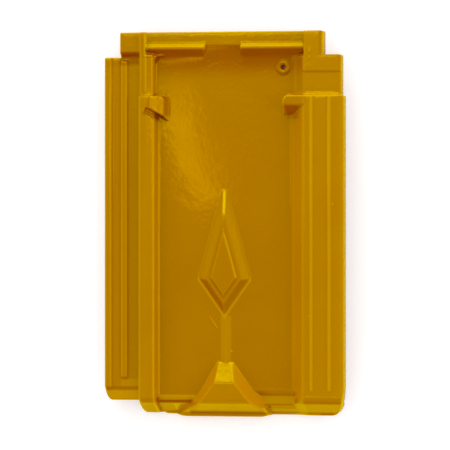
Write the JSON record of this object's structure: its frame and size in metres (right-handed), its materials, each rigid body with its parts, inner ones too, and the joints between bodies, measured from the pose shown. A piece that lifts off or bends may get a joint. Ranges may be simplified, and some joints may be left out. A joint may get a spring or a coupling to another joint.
{
  "type": "clay roof tile",
  "caption": "Glazed interlocking clay roof tile with side-lap grooves, roll, flat pan with a raised lozenge and foot ornament, cover rib, head flange and batten nibs.",
  "frame": {"origin": "centre of the tile's bounding rectangle, on the level plane that its nibs and foot lip rest on", "axes": "+X across the tile to its cover rib, +Y up the roof to its head, +Z out of the glazed face"},
  "size_m": [0.252, 0.396, 0.043],
  "materials": {
    "amber_glaze": "glossy"
  },
  "bodies": {
    "root": {"roof_tile": "amber_glaze"}
  },
  "joints": []
}
